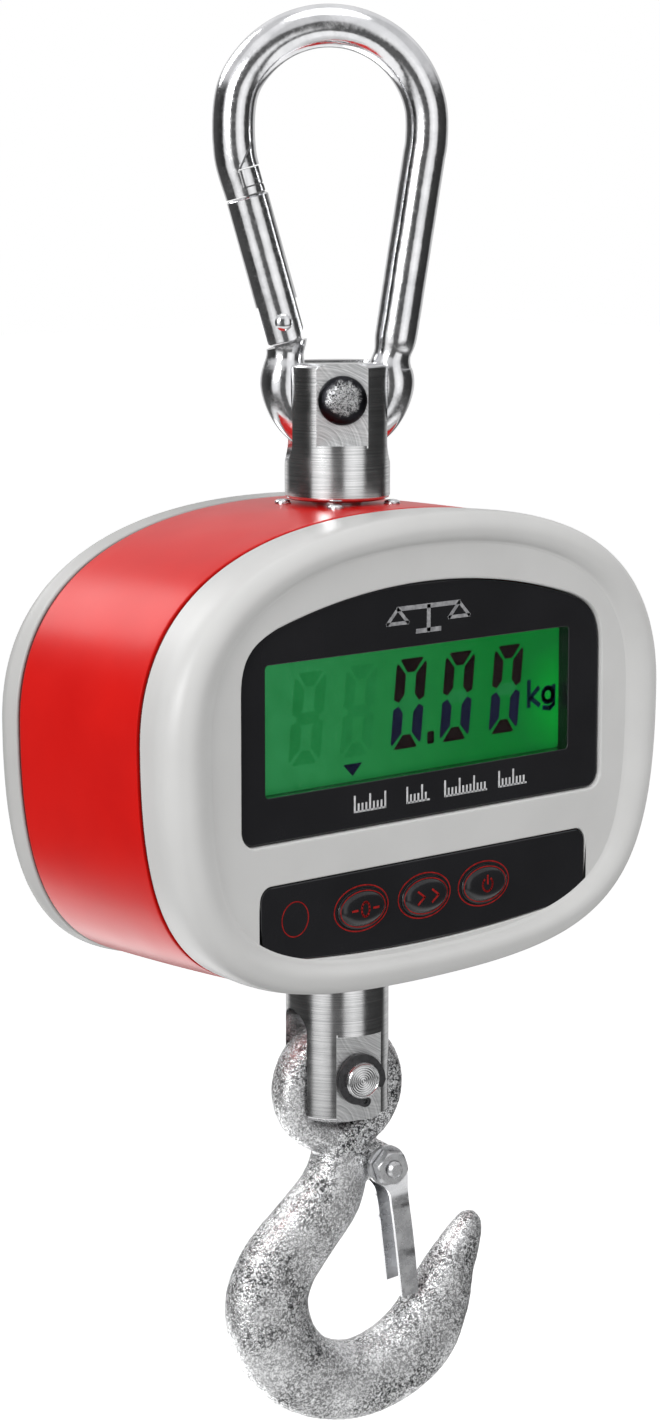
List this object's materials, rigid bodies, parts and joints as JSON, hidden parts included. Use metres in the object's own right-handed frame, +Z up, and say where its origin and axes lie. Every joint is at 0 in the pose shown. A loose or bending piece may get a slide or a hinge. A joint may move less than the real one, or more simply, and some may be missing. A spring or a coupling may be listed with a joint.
{
  "type": "crane scale",
  "caption": "Hanging crane scale with a snap hook, swivelling clevises, a rounded display housing with keys and a latched load hook.",
  "frame": {"origin": "inside top of the snap hook bow, the point the scale hangs from", "axes": "+Z up along the load line, -Y out of the display, +X to the reader's right"},
  "size_m": [0.1908, 0.0825, 0.4124],
  "materials": {
    "chrome": "bright polished plating over wire",
    "turned_steel": "turned and milled, fine tool marks",
    "zinc_plate": "bright zinc plating",
    "forged_zinc": "forged, rough grain, bright zinc plating",
    "black_steel": "blackened steel",
    "spring_steel": "plain steel",
    "red_plastic": "satin red moulded plastic",
    "light_plastic": "satin light grey moulded plastic",
    "seal_rubber": "dark red rubber",
    "black_gloss": "gloss black panel",
    "clear_lens": "clear lens",
    "lcd_panel": "lit green display",
    "diffuser": "milky light guide",
    "dark_plastic": "plain black plastic",
    "circuit_board": "green board",
    "aluminium_block": "machined aluminium"
  },
  "bodies": {
    "snap_hook": {"snap_hook_body": "chrome", "gate_rivet": "chrome"},
    "gate": {"snap_hook_gate": "chrome", "gate_spring": "spring_steel"},
    "upper_swivel": {"upper_clevis": "turned_steel", "upper_pin": "black_steel", "upper_pin_clip": "black_steel", "upper_nut": "zinc_plate"},
    "housing": {"middle_band": "red_plastic", "front_seal": "seal_rubber", "rear_seal": "seal_rubber", "front_bezel": "light_plastic", "rear_cover": "light_plastic", "display_panel": "black_gloss", "display_lens": "clear_lens", "lcd_glass": "lcd_panel", "lcd_backlight": "diffuser", "keypad_overlay": "black_gloss", "key_switch_1": "dark_plastic", "key_switch_2": "dark_plastic", "key_switch_3": "dark_plastic", "remote_sensor": "dark_plastic", "main_board": "circuit_board", "buzzer": "dark_plastic", "load_cell": "aluminium_block", "neck_plate": "spring_steel", "foot_plate": "spring_steel", "battery_pack": "dark_plastic", "battery_bracket": "spring_steel", "charge_socket": "dark_plastic", "upper_thrust_bearing": "turned_steel", "lower_thrust_bearing": "turned_steel", "neck_screw_1": "zinc_plate", "neck_screw_2": "zinc_plate", "neck_screw_3": "zinc_plate", "neck_screw_4": "zinc_plate", "foot_screw_1": "zinc_plate", "foot_screw_2": "zinc_plate", "foot_screw_3": "zinc_plate", "foot_screw_4": "zinc_plate", "rear_screw_1": "zinc_plate", "rear_screw_2": "zinc_plate", "rear_screw_3": "zinc_plate", "rear_screw_4": "zinc_plate"},
    "key_1": {"key_1": "black_gloss"},
    "key_2": {"key_2": "black_gloss"},
    "key_3": {"key_3": "black_gloss"},
    "lower_swivel": {"lower_clevis": "turned_steel", "lower_pin": "turned_steel", "lower_pin_clip": "black_steel", "lower_nut": "zinc_plate"},
    "load_hook": {"hook_body": "forged_zinc", "latch_bolt": "zinc_plate", "latch_nut": "zinc_plate"},
    "latch": {"latch": "zinc_plate", "latch_spring": "spring_steel"}
  },
  "joints": [
    {"name": "snap_hook_swing", "type": "hinge", "parent": "snap_hook", "child": "upper_swivel", "pos_m": [0, 0, -0.0973], "axis": [0.6018, 0.7986, 0], "range_deg": [-40, 40]},
    {"name": "gate_hinge", "type": "hinge", "parent": "snap_hook", "child": "gate", "pos_m": [-0.01263, 0.00951, -0.0758], "axis": [0.6018, 0.7986, 0], "range_deg": [0, 28], "stiffness_Nm_per_rad": 0.15, "springref_deg": -17.19},
    {"name": "housing_swivel", "type": "hinge", "parent": "upper_swivel", "child": "housing", "pos_m": [0, 0, -0.1273], "axis": [0, 0, 1], "continuous": true},
    {"name": "hook_swivel", "type": "hinge", "parent": "housing", "child": "lower_swivel", "pos_m": [0, 0, -0.259], "axis": [0, 0, 1], "continuous": true},
    {"name": "hook_swing", "type": "hinge", "parent": "lower_swivel", "child": "load_hook", "pos_m": [0, 0, -0.293], "axis": [0.2531, 0.9674, 0], "range_deg": [-45, 45]},
    {"name": "latch_hinge", "type": "hinge", "parent": "load_hook", "child": "latch", "pos_m": [0.01209, -0.00316, -0.3223], "axis": [0.2531, 0.9674, 0], "range_deg": [0, 26], "stiffness_Nm_per_rad": 0.08, "springref_deg": -22.92},
    {"name": "key_1_press", "type": "slide", "parent": "housing", "child": "key_1", "axis": [0, 1, 0], "range_m": [0, 0.0007], "stiffness_N_per_m": 1500},
    {"name": "key_2_press", "type": "slide", "parent": "housing", "child": "key_2", "axis": [0, 1, 0], "range_m": [0, 0.0007], "stiffness_N_per_m": 1500},
    {"name": "key_3_press", "type": "slide", "parent": "housing", "child": "key_3", "axis": [0, 1, 0], "range_m": [0, 0.0007], "stiffness_N_per_m": 1500}
  ]
}
